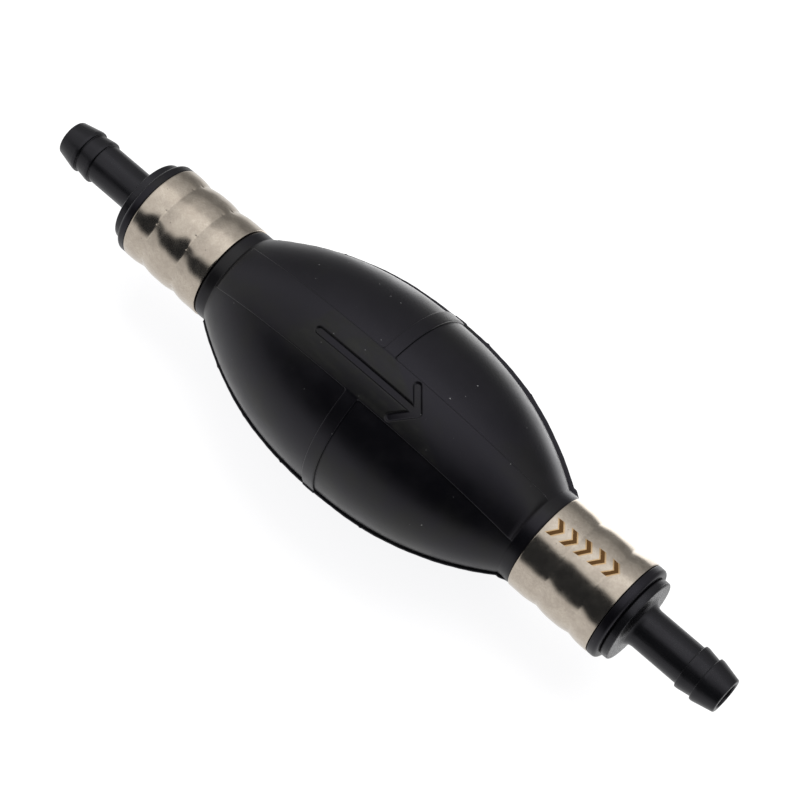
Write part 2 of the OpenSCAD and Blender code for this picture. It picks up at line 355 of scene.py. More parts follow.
def rubber_material():
    """Dull black rubber with dust, and the streaky patch where the insert attribute is set."""
    m, tree, shader, place = material("moulded_black_rubber")
    grain = noise(tree, place, 9000, 3, 0.6)
    cloud = noise(tree, place, 160, 4, 0.6)
    ragged = add(tree, "ShaderNodeTexNoise", {"Vector": place, "Scale": 5200.0, "Detail": 2.0})
    shaken = add(tree, "ShaderNodeVectorMath",
                 {0: ragged.outputs["Color"], 1: (0.0005, 0.0005, 0.0005), 2: place},
                 operation="MULTIPLY_ADD")
    dust = maths(tree, "ADD", specks(tree, shaken.outputs[0], 330, 0.038),
                 specks(tree, shaken.outputs[0], 110, 0.022), clamp=True)
    base = mix(tree, remap(tree, cloud, 0.35, 0.7), colour(0.0012, 0.0011, 0.0016),
               colour(0.0021, 0.0019, 0.0025))
    rough = remap(tree, cloud, 0.3, 0.75, 0.31, 0.38)
    haze = remap(tree, noise(tree, place, 55, 3, 0.6), 0.48, 0.66, 0.0, 0.55)
    tint = mix(tree, haze, colour(0.88, 0.85, 1.0), colour(0.97, 0.97, 0.86))
    insert = add(tree, "ShaderNodeAttribute", attribute_name="insert").outputs["Fac"]
    along = add(tree, "ShaderNodeVectorMath", {0: place, 1: (0.06, 1.0, 1.0)}, operation="MULTIPLY")
    streaks = remap(tree, noise(tree, along.outputs[0], 900, 3, 0.6), 0.35, 0.7)
    rubbed = remap(tree, noise(tree, place, 330, 4, 0.65), 0.38, 0.66)
    insert = maths(tree, "MULTIPLY", insert, maths(tree, "MULTIPLY_ADD", rubbed, 0.6, 0.4))
    streaked = mix(tree, streaks, colour(0.0016, 0.0016, 0.0015), colour(0.0046, 0.0046, 0.0043))
    base = mix(tree, insert, base, streaked)
    rough = maths(tree, "MULTIPLY_ADD", insert, 0.08, rough)
    tint = mix(tree, insert, tint, colour(0.93, 0.93, 0.91))
    base = mix(tree, dust, base, colour(0.20, 0.20, 0.20))
    plug(tree, shader, Base_Color=base, Roughness=maths(tree, "MULTIPLY_ADD", dust, 0.3, rough),
         IOR=1.5, Specular_IOR_Level=0.38, Specular_Tint=tint,
         Normal=bump(tree, grain, 0.10, 0.00003, bump(tree, cloud, 0.12, 0.0002)))
    return m


def nylon_material():
    """Moulded black nylon with flow lines, and a scuffed flange face."""
    m, tree, shader, place = material("moulded_black_nylon")
    grain = noise(tree, place, 5200, 4, 0.65)
    cloud = noise(tree, place, 240, 4, 0.6)
    stretched = add(tree, "ShaderNodeVectorMath", {0: place, 1: (0.12, 1.0, 1.0)}, operation="MULTIPLY")
    flow = noise(tree, stretched.outputs[0], 1400, 3, 0.6)
    base = mix(tree, cloud, colour(0.0016, 0.0016, 0.0020), colour(0.0034, 0.0034, 0.0040))
    rough = remap(tree, flow, 0.3, 0.7, 0.26, 0.36)
    along = maths(tree, "ABSOLUTE", add(tree, "ShaderNodeSeparateXYZ", {"Vector": place}).outputs[0])
    to_face = maths(tree, "ABSOLUTE", maths(tree, "SUBTRACT", along, FLANGE_FACE * MM))
    on_face = remap(tree, to_face, 0.0006, 0.0003)
    brushed = add(tree, "ShaderNodeVectorMath", {0: place, 1: (1.0, 0.35, 1.0)}, operation="MULTIPLY")
    brush = noise(tree, brushed.outputs[0], 1500, 4, 0.7)
    rough = maths(tree, "MULTIPLY_ADD", maths(tree, "MULTIPLY", on_face, brush), -0.16, rough)
    face_relief = bump(tree, maths(tree, "MULTIPLY", on_face, brush), 0.6, 0.00022)
    plug(tree, shader, Base_Color=base, Roughness=rough, IOR=1.5, Specular_IOR_Level=0.4,
         Specular_Tint=colour(0.92, 0.90, 1.0),
         Normal=bump(tree, grain, 0.22, 0.00004, bump(tree, flow, 0.22, 0.00008, face_relief)))
    return m


def stainless_material(name, mark=None):
    """Satin stainless sheet. mark = (middle x, angle, radius) adds plain burnt chevrons along the flow:
    u and v are millimetres along and across their row, and first is the distance from its start."""
    m, tree, shader, place = material(name)
    axes = add(tree, "ShaderNodeSeparateXYZ", {"Vector": place})
    x, y, z = axes.outputs
    round_angle = maths(tree, "ARCTAN2", y, z)
    grain = noise(tree, place, 4200, 4, 0.65)
    mottle = noise(tree, place, 420, 5, 0.62)
    stain = noise(tree, place, 120, 3, 0.5)
    rolled = add(tree, "ShaderNodeVectorMath", {0: place, 1: (1.0, 0.16, 0.16)}, operation="MULTIPLY")
    scratch = noise(tree, rolled.outputs[0], 5200, 2, 0.5)
    pits = specks(tree, place, 420, 0.05)
    base = mix(tree, remap(tree, mottle, 0.3, 0.7), colour(0.52, 0.456, 0.388),
               colour(0.63, 0.560, 0.475))
    base = mix(tree, remap(tree, stain, 0.55, 0.75, 0.0, 0.25), base, colour(0.43, 0.365, 0.295))
    grit = noise(tree, place, 1700, 3, 0.7)
    base = mix(tree, remap(tree, grit, 0.35, 0.65, 0.0, 0.30), base, colour(0.44, 0.375, 0.30))
    base = mix(tree, pits, base, colour(0.12, 0.10, 0.085))
    rough = remap(tree, mottle, 0.25, 0.75, 0.15, 0.22)
    metallic, gloss = 1.0, 0.5
    if mark:
        middle, angle, radius = mark
        pitch, stroke, half_height, count, lean, slant = 3.7, 1.2, 2.25, 5, 0.085, 0.75
        u = maths(tree, "MULTIPLY", maths(tree, "SUBTRACT", x, middle * MM), 1 / MM)
        v = maths(tree, "MULTIPLY", maths(tree, "SUBTRACT", round_angle, angle), radius)
        across = maths(tree, "ABSOLUTE", maths(tree, "MULTIPLY_ADD", u, -lean, v))
        along = maths(tree, "MULTIPLY_ADD", across, slant, u)
        first = maths(tree, "ADD", along, pitch * count / 2)
        tile = maths(tree, "FRACT", maths(tree, "DIVIDE", first, pitch))
        rows = maths(tree, "MULTIPLY", remap(tree, first, -0.05, 0.05),
                     remap(tree, first, pitch * count - 0.05, pitch * count - 0.15))
        rows = maths(tree, "MULTIPLY", rows, remap(tree, across, half_height + 0.06, half_height - 0.06))
        centre = maths(tree, "ABSOLUTE", maths(tree, "SUBTRACT", tile, stroke / pitch / 2 + 0.1))
        burnt = maths(tree, "MULTIPLY", rows,
                      remap(tree, centre, stroke / pitch / 2 + 0.02, stroke / pitch / 2 - 0.03))
        halo = maths(tree, "MULTIPLY", rows,
                     remap(tree, centre, stroke / pitch / 2 + 0.18, stroke / pitch / 2 - 0.02))
        base = mix(tree, halo, base, colour(0.55, 0.36, 0.17))
        scorched = mix(tree, grain, colour(0.038, 0.017, 0.004), colour(0.075, 0.036, 0.010))
        base = mix(tree, burnt, base, scorched)
        rough = maths(tree, "MULTIPLY_ADD", burnt, 0.25, rough)
        metallic = maths(tree, "MULTIPLY_ADD", burnt, -0.98, 1.0)
        gloss = maths(tree, "MULTIPLY_ADD", burnt, -0.4, 0.5)
    relief = bump(tree, mottle, 0.10, 0.00012, bump(tree, scratch, 0.05, 0.00003))
    plug(tree, shader, Base_Color=base, Roughness=rough, Metallic=metallic, Specular_IOR_Level=gloss,
         Normal=bump(tree, pits, 0.3, 0.00005, bump(tree, grain, 0.10, 0.00003, relief)))
    return m


def acetal_material():
    m, tree, shader, place = material("natural_acetal")
    grain = noise(tree, place, 3000, 3, 0.6)
    cloud = noise(tree, place, 300, 3, 0.5)
    base = mix(tree, cloud, colour(0.72, 0.70, 0.64), colour(0.80, 0.785, 0.73))
    plug(tree, shader, Base_Color=base, Roughness=remap(tree, grain, 0.3, 0.7, 0.34, 0.44), IOR=1.48,
         Subsurface_Weight=0.08, Normal=bump(tree, grain, 0.08, 0.00003))
    return m


def nitrile_material():
    m, tree, shader, place = material("nitrile_rubber")
    grain = noise(tree, place, 6000, 3, 0.6)
    base = mix(tree, grain, colour(0.010, 0.010, 0.010), colour(0.020, 0.020, 0.021))
    plug(tree, shader, Base_Color=base, Roughness=remap(tree, grain, 0.3, 0.7, 0.48, 0.58),
         Normal=bump(tree, grain, 0.12, 0.00003))
    return m


def wire_material():
    m, tree, shader, place = material("drawn_spring_wire")
    drawn = noise(tree, place, 5000, 3, 0.6)
    base = mix(tree, drawn, colour(0.50, 0.50, 0.51), colour(0.64, 0.64, 0.65))
    plug(tree, shader, Base_Color=base, Metallic=1.0, Roughness=remap(tree, drawn, 0.3, 0.7, 0.20, 0.32),
         Normal=bump(tree, drawn, 0.10, 0.00002))
    return m


# ---------------------------------------------------------------- the bulb
def neck_radius(x):
    """Outside radius of a neck at a distance x from the bulb's centre, past the bulb's end."""
    collar_round, collar_drop, ferrule_gap = 0.9, 0.5, 0.04
    lip_in, lip_round, bead_run, bead_drop = FERRULE_OUT + 0.03, 1.0, 0.35, 0.45
    turn = np.clip((x - (FERRULE_IN - collar_round)) / collar_round, 0, 1)
    r = SHOULDER_R - collar_drop * (1 - np.sqrt(1 - turn ** 2))
    r = np.where(x > FERRULE_IN - 0.01, NECK_R - ferrule_gap - crimp_depth(x), r)
    bead = np.clip((x - lip_in) / bead_run, 0, 1)
    lip = LIP_R - bead_drop * (1 - np.sqrt(np.clip(1 - (1 - bead) ** 2, 0, 1)))
    over = np.clip(x - (NECK_END - lip_round), 0, lip_round)
    lip = lip - lip_round * (1 - np.sqrt(np.clip(1 - (over / lip_round) ** 2, 0, 1)))
    return np.where(x > lip_in, lip, r)


def outer_radius(x):
    ax = np.abs(x)
    return np.where(ax <= BULB_END, bulb_radius(np.minimum(ax, BULB_END)), neck_radius(ax))


def stroke_distance(x, y, a, b):
    """Signed distance to a round-ended stroke from a to b in plan."""
    a, b = np.array(a), np.array(b)
    d = b - a
    t = np.clip(((x - a[0]) * d[0] + (y - a[1]) * d[1]) / (d @ d), 0, 1)
    return np.hypot(x - a[0] - t * d[0], y - a[1] - t * d[1]) - STROKE / 2


def arrow_distance(x, y):
    """Signed distance to the arrow's outline in plan, negative inside."""
    point = (ARROW_TAIL + ARROW_LENGTH - STROKE / 2, 0.0)
    return np.minimum.reduce([
        stroke_distance(x, y, (ARROW_TAIL + STROKE / 2, 0.0), point),
        stroke_distance(x, y, point, (point[0] - HEAD[0], HEAD[1])),
        stroke_distance(x, y, point, (point[0] - HEAD[0], -HEAD[1]))])


def ripple(x, phase):
    """A slow, slightly irregular run between 0 and 1."""
    return 0.5 + 0.22 * np.sin(0.31 * x + phase) + 0.16 * np.sin(0.83 * x + 2.1 * phase) \
        + 0.12 * np.sin(2.3 * x + 0.7 * phase)


# Torn nubs on the flash, as (x, side of the bulb)
NUBS = ((-31.0, 1), (8.5, 1), (24.0, 1), (-35.5, -1), (-23.0, -1), (-9.0, -1), (15.0, -1))


def flash_height(x, z, world_y):
    """Height of the uneven flash, at a distance z from the parting line. On the +Y side it is a
    taller fin with straight sides, and it grows towards the outlet."""
    on_far_side = world_y > 0
    wander = ripple(x, np.where(on_far_side, 0.4, 2.6))
    nub_run, nub_height = 0.35, 0.16
    nubs = sum(np.exp(-((x - at) / nub_run) ** 2) * (world_y * hand > 0) for at, hand in NUBS)
    half_width = 0.48 + 0.08 * wander
    power = np.where(on_far_side, 4.0, 2.0)
    profile = np.clip(1 - np.abs(z / half_width) ** power, 0, 1) ** (1 / power)
    fin_low, fin_growth, grows_from, grows_over = 0.22, 0.22, -15, 40
    fin = np.where(on_far_side, fin_low + fin_growth * smooth((x - grows_from) / grows_over), 0)
    return profile * (FLASH * (1.25 + 0.25 * wander) + nub_height * nubs + fin)


def relief(x, y, z, side):
    """Height of the mouldings over the bulb's outline. side is -1 for the lower half."""
    band_fade, flash_fade, fillet, arrow_edge, flash_over_band = 0.5, 2.5, 0.5, 0.19, 0.35
    on_bulb = inside(np.abs(x) - (BULB_END - band_fade), band_fade)
    to_band, to_girth = np.abs(y) - BAND_HALF, np.abs(x) - GIRTH_HALF
    share = np.clip(0.5 + 0.5 * (to_girth - to_band) / fillet, 0, 1)
    joined = to_girth * (1 - share) + to_band * share - fillet * share * (1 - share)
    bands = on_bulb * ledge(joined, BAND) * (GIRTH + (BAND - GIRTH) * inside(to_band, 0.3))
    on_flash = np.where(x < 0, inside(-x - (BULB_END + 0.2)),
                        smooth((FERRULE_IN - 0.3 - x) / flash_fade))
    flash = on_flash * flash_height(x, z, side * y)
    sunk = ARROW_DEPTH * inside(arrow_distance(x, y), arrow_edge)
    return np.maximum(bands, flash_over_band * bands + flash) - sunk


def insert_mask(x, y):
    """The rougher patch that the arrow's mould insert leaves on the band."""
    tail_edge, head_edge = -18.2 + 0.35 * y, 13.5 - 2.0 * y
    patch = (inside(np.abs(y) - (BAND_HALF - 0.3), 0.2) * inside(tail_edge - x, 0.9)
             * inside(x - head_edge, 1.6))
    return patch * (1 - inside(arrow_distance(x, y), 0.2))


def spigot_outline(gap):
    """The fitting's ribbed spigot as (x, radius), from its inner end to the flange."""
    low, high, back = SPIGOT_R + gap, SPIGOT_R + RIB + gap, 0.05
    points = [(SPIGOT_IN, low)]
    for i in range(RIBS):
        at = SPIGOT_IN + RIB_START + RIB_PITCH * i
        points += [(at, low), (at + RIB_LENGTH, high), (at + RIB_LENGTH + back, low)]
    return points + [(NECK_END, low)]


# Mesh lines across a moulded edge, as distances from its outline
EDGE_LINES = [-0.26, -0.19, -0.13, -0.08, -0.04, 0, 0.05]
# Mesh lines beside the parting line, as distances from it
FLASH_LINES = np.array([1.4, 1.0, 0.75, 0.62, 0.56, 0.53, 0.50, 0.47, 0.43, 0.37, 0.29, 0.20, 0.10, 0.0])
FLANK_STEPS = 24                 # from the long band's edge to the parting line
CAVITY_LINES = 37


def skin_grid():
    """The outside's mesh lines: stations along X and, for each, angles from the top over a half turn."""
    half = tidy(
        spans((14, BULB_END - 0.6, 0.55), (BULB_END - 0.6, FERRULE_IN, 0.14),
              (FERRULE_IN, FERRULE_OUT, 0.5), (FERRULE_OUT + 0.02, NECK_END, 0.09)))
    x = tidy(np.concatenate([-half, half]).tolist() + spans((-18, 9.6, 0.2), (9.6, 15.6, 0.12))
             + [s * (GIRTH_HALF + d) for s in (-1, 1) for d in EDGE_LINES], 0.02)
    edge = [BAND_HALF + d for d in EDGE_LINES + [0.2, 0.5, 0.9]]
    flat = tidy(spans((0, 1.05, 0.1), (1.05, BAND_HALF - 0.3, 0.15)) + edge, 0.015)
    r = outer_radius(x)[:, None]
    from_y = np.arcsin(flat[None, :] / r)
    from_z = math.pi / 2 - np.arcsin(FLASH_LINES[None, :] / r)
    share = np.linspace(0, 1, FLANK_STEPS + 1)[1:-1][None, :]
    flank = from_y[:, -1:] * (1 - share) + from_z[:, :1] * share
    quarter = np.concatenate([from_y, flank, from_z], axis=1)
    return x, np.concatenate([-quarter[:, :0:-1], quarter], axis=1)


def bulb_skin(name, side):
    """Half of the bulb's rubber as a closed skin: the moulded outside and the plain cavity."""
    x, angle = skin_grid()
    r = outer_radius(x)[:, None]
    xx = np.repeat(x[:, None], angle.shape[1], axis=1)
    y, z = r * np.sin(angle), r * np.cos(angle)
    rr = r + relief(xx, y, z, side)
    outer = np.stack([xx, rr * np.sin(angle), rr * np.cos(angle)], axis=-1)
    n, m = angle.shape

    bore = spigot_outline(FIT_GAP)
    stations = spans((0, BULB_END - 0.05, 3.0)) + [p[0] for p in bore]
    stations = tidy([-s for s in stations] + stations, 0.03)
    rows, inner_x = [], []
    for s in stations:
        i = int(np.argmin(np.abs(x - s)))
        if not rows or i > rows[-1]:
            rows.append(i)
            inner_x.append(s)
    inner_x[0], inner_x[-1] = -NECK_END, NECK_END
    rows[0], rows[-1] = 0, n - 1
    inner_x = np.array(inner_x)
    bore_x, bore_r = np.array(bore).T
    hollow = np.where(np.abs(inner_x) < BULB_END, bulb_radius(np.minimum(np.abs(inner_x), BULB_END)) - WALL,
                      np.interp(np.abs(inner_x), bore_x, bore_r))
    cols = sorted(set(np.linspace(0, m - 1, CAVITY_LINES).round().astype(int).tolist()))
    inner_angle = angle[np.array(rows)][:, np.array(cols)]
    inner = np.stack([np.repeat(inner_x[:, None], len(cols), axis=1),
                      hollow[:, None] * np.sin(inner_angle), hollow[:, None] * np.cos(inner_angle)], axis=-1)
    points = np.concatenate([outer.reshape(-1, 3), inner.reshape(-1, 3)])
    if side < 0:
        points[:, 1:] *= -1
    insert = np.concatenate([insert_mask(xx, y).ravel(), np.zeros(inner.shape[0] * inner.shape[1])])
    return new_object(name, points, sheet_faces(n, m, rows, cols), RUBBER, 60.0, {"insert": insert})


# ---------------------------------------------------------------- the ferrules
def ferrule_loop():
    """The crimped sheet's outline as (x, radius)."""
    creases = [FERRULE_IN + share * FERRULE_LENGTH for share in CRIMP_AT]
    x_out = tidy(spans((FERRULE_IN + 0.2, FERRULE_OUT - 0.2, 0.25)) + creases, 0.12)
    r_out = FERRULE_R - crimp_depth(x_out)
    top = list(zip(x_out, r_out))
    under = [(x, r - SHEET) for x, r in reversed(top)]
    rim = [(0.06, FERRULE_R - 0.05), (0, FERRULE_R - 0.19),     # a rounded cut end, as (depth, radius)
           (0, FERRULE_R - SHEET + 0.15), (0.06, FERRULE_R - SHEET + 0.03)]
    out_end = [(FERRULE_OUT - depth, r) for depth, r in rim]
    in_end = [(FERRULE_IN + depth, r) for depth, r in reversed(rim)]
    return list(reversed(top + out_end + under + in_end))


def crimped_by_jaws(first_gap, bite):
    """Radius shift of the sheet: shallower grooves between the jaws, pinch marks at the jaws' corners
    and a slight unevenness. first_gap is the angle of a gap between two jaws, and bite scales the marks."""
    corners = ((JAW_GAP_HALF, 0.09, 0.8, 0.45),      # a pinch mark's angle, depth, length and width
               (-JAW_GAP_HALF, 0.07, 0.6, 0.35))
    gap_rise, lip_rise, lip_stretch = 0.06, 0.03, 1.4

    def shift(x, angle):
        turn = 2 * math.pi / JAWS
        off = (angle - first_gap + turn / 2) % turn - turn / 2
        gap = smooth(1.25 - np.abs(off) / JAW_GAP_HALF)
        result = gap_rise * bite * gap * crimp_depth(x) / CRIMP
        for share in CRIMP_AT:
            dx = np.abs(x) - (FERRULE_IN + share * FERRULE_LENGTH)
            for corner, depth, length, width in corners:
                ds = (off - corner) * FERRULE_R
                diamond = np.clip(1 - np.abs(dx) / length - np.abs(ds) / width, 0, 1)
                result -= depth * bite * diamond
                lip = np.clip(1 - np.abs(dx) / (length * lip_stretch)
                              - np.abs(ds - math.copysign(width, corner)) / width, 0, 1)
                result += lip_rise * bite * lip
        result += 0.035 * np.cos(2 * angle + 1.1) + 0.020 * np.cos(3 * angle + 0.04 * x)
        result += 0.012 * np.sin(5 * angle + 0.5 * x) * np.sin(0.7 * x)
        return result

    return shift


# ---------------------------------------------------------------- the hose barb fittings
def fitting_loop():
    """The fitting's outline as (x, radius), from (x, radius, rounding) corners."""
    corners = [(x, r, 0.06) for x, r in spigot_outline(0.0)[:-1]]
    corners += [
        (NECK_END + FIT_GAP, SPIGOT_R, 0.05), (NECK_END + FIT_GAP, FLANGE_R, 0.45),
        (FLANGE_FACE, FLANGE_R, 0.5), (FLANGE_FACE, STEM_R, STEM_FILLET),
        (REAR_CREST, STEM_R, 0.15), (REAR_CREST, BARB_R, 0.2), (REAR_CREST + CREST, BARB_R, 0.35),
        (TIP_CREST - CREST, STEM_R, 0.15), (TIP_CREST - CREST, BARB_R, 0.2), (TIP_CREST, BARB_R, 0.5),
        (TIP, TIP_R, 0.4), (TIP, BORE_R + 0.25, 0.12), (TIP - 0.3, BORE_R, 0.2),
        (CHAMBER_OUT + FUNNEL, BORE_R, 0.3), (CHAMBER_OUT, HOUSING_R - HOUSING_WALL, 0.05),
        (CHAMBER_OUT, CHAMBER_R, 0.05), (CHAMBER_IN, CHAMBER_R, 0.03),
        (CHAMBER_IN, CHAMBER_R - SNAP, 0.03), (SPIGOT_IN, CHAMBER_R - SNAP, 0.05)]
    return list(reversed(rounded(corners)))


# ---------------------------------------------------------------- the valve springs
def spring(name, node):
    """A coil spring with closed ends in the place of a CAD node, and where its wire starts and ends."""
    lo, hi = box_mm(node)
    wire, turns, closed = 0.3, 6, 0.62           # the wire's radius, and the pitch of the end turns
    coil = hi.z - wire
    start, end = lo.x + wire, hi.x - wire
    pitch = (end - start - 2 * closed) / (turns - 2)
    per_turn, sides = 40, 14
    steps = turns * per_turn
    t = np.arange(steps + 1) / per_turn
    axial = start + closed * (np.minimum(t, 1) + np.maximum(t - turns + 1, 0)) \
        + pitch * np.clip(t - 1, 0, turns - 2)
    a = 2 * math.pi * t
    b = 2 * math.pi * np.arange(sides) / sides
    r = coil + wire * np.cos(b)[None, :]
    points = np.stack([axial[:, None] + wire * np.sin(b)[None, :],
                       r * np.cos(a)[:, None], r * np.sin(a)[:, None]], axis=-1).reshape(-1, 3)
    faces = [(i * sides + j, i * sides + (j + 1) % sides,
              (i + 1) * sides + (j + 1) % sides, (i + 1) * sides + j)
             for i in range(steps) for j in range(sides)]
    faces += [list(range(sides - 1, -1, -1)), [steps * sides + j for j in range(sides)]]
    return new_object(name, points, faces, WIRE, 50.0), start, end


# ---------------------------------------------------------------- camera angles, used by the marks too
FALL = math.radians(40.475)      # how far the axis falls to the right in the view
LEAN = math.radians(15.7)        # how far the outlet end leans towards the camera
ROLL = math.radians(7.5)         # how far the arrow band is turned up from facing the camera
OFFSET = Vector((-3.45, -1.0, -601.1)) * MM      # the bulb's centre as the camera sees it
LENS = 119.7
MARK_AT, MARK_TURN = FERRULE_IN + 11.8, math.radians(22.4)       # the chevrons' middle

RUBBER = rubber_material()
NYLON = nylon_material()
INLET_STEEL = stainless_material("satin_stainless_sheet")
OUTLET_STEEL = stainless_material("satin_stainless_sheet_marked", (MARK_AT, MARK_TURN - ROLL, FERRULE_R))
ACETAL = acetal_material()
NITRILE = nitrile_material()
WIRE = wire_material()

for half, side in (("upper", 1), ("lower", -1)):
    skin = bulb_skin("bulb_" + half + "_skin", side)
    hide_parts("bulb", half + "_squeeze_wall")
    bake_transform(skin)

# Each end's steel, the angle in degrees of a gap between two jaws, and how hard the jaws bit
for end, steel, gap, bite in (("inlet", INLET_STEEL, -3.0, 1.8), ("outlet", OUTLET_STEEL, -30.0, 0.4)):
    loop = ferrule_loop()
    fitting = fitting_loop()
    if end == "inlet":
        loop, fitting = mirrored(loop), mirrored(fitting)
    tube = revolve(end + "_ferrule_crimped", loop, steel, 288, 40.0,
                   crimped_by_jaws(math.radians(gap) - ROLL, bite))
    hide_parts(end + "_ferrule")
    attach(tube, "pump_body")
    barb = revolve(end + "_hose_barb_moulded", fitting, NYLON, 144, 32.0)
    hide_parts(end + "_hose_barb")
    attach(barb, "pump_body")
    coil, start, stop = spring(end + "_valve_spring_coil", end + "_valve_spring")
    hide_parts(end + "_valve_spring")
    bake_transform(coil)

carried = {"valve_housing": ACETAL, "valve_poppet": ACETAL, "spring_retainer": ACETAL,
           "housing_o_ring": NITRILE, "poppet_seal": NITRILE}
for end in ("inlet", "outlet"):
    for piece, look in carried.items():
        node = frame["nodes"][end + "_" + piece]
        node.data.materials.clear()
        node.data.materials.append(look)

# ---------------------------------------------------------------- camera
# The view's own axes are X to the right, Y up and Z towards the camera. In them, along and up are the
# object's X and Z axes.
along = Vector((math.cos(LEAN) * math.cos(FALL), -math.cos(LEAN) * math.sin(FALL), math.sin(LEAN)))
toward = Vector((-math.sin(LEAN) * math.cos(FALL), math.sin(LEAN) * math.sin(FALL), math.cos(LEAN)))
across = Vector((math.sin(FALL), math.cos(FALL), 0.0))
up = toward * math.cos(ROLL) + across * math.sin(ROLL)
to_camera = Matrix((along, up.cross(along), up)).transposed()
camera = bpy.data.objects.new("camera", bpy.data.cameras.new("camera"))
camera.data.sensor_width = 36.0
camera.data.lens = LENS
camera.data.clip_start, camera.data.clip_end = 0.01, 50.0
back = to_camera.transposed()
camera.matrix_world = Matrix.Translation(-(back @ OFFSET)) @ back.to_4x4()
bpy.context.scene.collection.objects.link(camera)
bpy.context.scene.camera = camera

# ---------------------------------------------------------------- studio
# Directions round the bulb's axis, from the camera's side: 0 is the camera, +90 the upper right
FACE = Vector((0.0, -math.sin(ROLL), math.cos(ROLL)))
RIGHT = Vector((0.0, math.cos(ROLL), math.sin(ROLL)))


def dot(tree, vector, fixed):
    node = add(tree, "ShaderNodeVectorMath", {0: vector, 1: tuple(fixed)}, operation="DOT_PRODUCT")
    return node.outputs["Value"]


def tone(tree, value, stops):
    """A smooth curve of grey through (position, value) stops."""
    node = add(tree, "ShaderNodeFloatCurve", {"Value": value})
    curve = node.mapping.curves[0]
    while len(curve.points) < len(stops):
        curve.points.new(0.5, 0.5)
    for point, (at, level) in zip(curve.points, stops):
        point.location = (at, level)
    node.mapping.update()
    return node.outputs[0]


def node_tree(data):
    """An emptied node tree of a new world or material."""
    data.use_nodes = True
    data.node_tree.nodes.clear()
    return data.node_tree


# The studio's brightness as (turn in degrees, level), with SKY_TOP over all levels. It is dimmed on the
# camera's side towards the outlet, and everywhere towards the inlet.
SKY_TONES = ((-180, 0.86), (-130, 0.88), (-94, 0.80), (-70, 0.78), (-30, 0.82), (0, 0.90), (20, 0.97),
             (36, 1.12), (48, 1.14), (57, 0.84), (66, 0.66), (82, 0.52), (94, 0.40), (122, 0.28), (180, 0.30))
SKY_TOP = 1.25
OUTLET_DIMMING, INLET_SHARE = 0.62, 0.74

world = bpy.data.worlds.new("soft_studio")
bpy.context.scene.world = world
sky = node_tree(world)
heading = add(sky, "ShaderNodeTexCoord").outputs["Generated"]
turn = maths(sky, "ARCTAN2", dot(sky, heading, RIGHT), dot(sky, heading, FACE))
studio_level = tone(sky, remap(sky, turn, -math.pi, math.pi, kind="LINEAR"),
                    [((a + 180) / 360, v / SKY_TOP) for a, v in SKY_TONES])
downstream = dot(sky, heading, (1, 0, 0))
to_outlet = remap(sky, downstream, 0.05, 0.65)
camera_side = maths(sky, "MULTIPLY", remap(sky, turn, math.radians(52), math.radians(12)),
                    remap(sky, turn, math.radians(-100), math.radians(-60)))
to_inlet = remap(sky, downstream, -0.35, -0.75, 1.0, INLET_SHARE)
outlet_side = maths(sky, "MULTIPLY", to_outlet, camera_side)
dimmed = maths(sky, "MULTIPLY", maths(sky, "MULTIPLY", to_inlet, SKY_TOP),
               maths(sky, "MULTIPLY_ADD", outlet_side, -OUTLET_DIMMING, 1.0))
studio_level = maths(sky, "MULTIPLY", studio_level, dimmed)
seen = add(sky, "ShaderNodeLightPath").outputs["Is Camera Ray"]      # the camera itself sees plain white
level = maths(sky, "ADD", maths(sky, "MULTIPLY", studio_level, maths(sky, "SUBTRACT", 1.0, seen)), seen)
backdrop = add(sky, "ShaderNodeBackground", {"Color": colour(1, 1, 1), "Strength": level})
add(sky, "ShaderNodeOutputWorld", {"Surface": backdrop.outputs[0]})


def square(name, half, z, shader):
    """A flat square of the staging, which is no part of the object."""
    mesh = bpy.data.meshes.new(name)
    mesh.from_pydata([(s * half, t * half, z) for s, t in ((-1, -1), (1, -1), (1, 1), (-1, 1))], [],
                     [(0, 1, 2, 3)])
    mesh.materials.append(shader)
    o = bpy.data.objects.new(name, mesh)
    bpy.context.scene.collection.objects.link(o)
    o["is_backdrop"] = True
    return o


# The dark side of the room, seen only in reflections: a dark band on a card beside the camera, narrow
# towards the inlet and wide towards the outlet. The edges are (along the axis, across the card) in metres.
CARD_TURN, CARD_AWAY, CARD_HALF, EDGE_SOFT = math.radians(-35), 0.15, 0.30, 0.045
UPPER_EDGE = ((-0.30, 0.035), (-0.20, 0.037), (-0.117, 0.044), (-0.07, 0.098), (-0.045, 0.116),
              (0.0, 0.122), (0.034, 0.112), (0.30, 0.112))
LOWER_EDGE = ((-0.30, 0.005), (-0.20, -0.012), (-0.117, -0.054), (-0.053, -0.063),
              (0.034, -0.079), (0.30, -0.085))
dark = bpy.data.materials.new("dark_room_side")
tree = node_tree(dark)
local = add(tree, "ShaderNodeSeparateXYZ", {"Vector": add(tree, "ShaderNodeTexCoord").outputs["Object"]})


def card_edge(stops):
    """Distance across the card of an edge of the dark band, in metres."""
    curve = tone(tree, remap(tree, local.outputs[0], -CARD_HALF, CARD_HALF, kind="LINEAR"),
                 [((x + CARD_HALF) / (2 * CARD_HALF), (y + CARD_HALF) / (2 * CARD_HALF)) for x, y in stops])
    return maths(tree, "MULTIPLY_ADD", curve, 2 * CARD_HALF, -CARD_HALF)


def softly(distance):
    """1 on the positive side of an edge and 0 on the other, with a soft run between them."""
    return remap(tree, distance, -EDGE_SOFT / 2, EDGE_SOFT / 2)


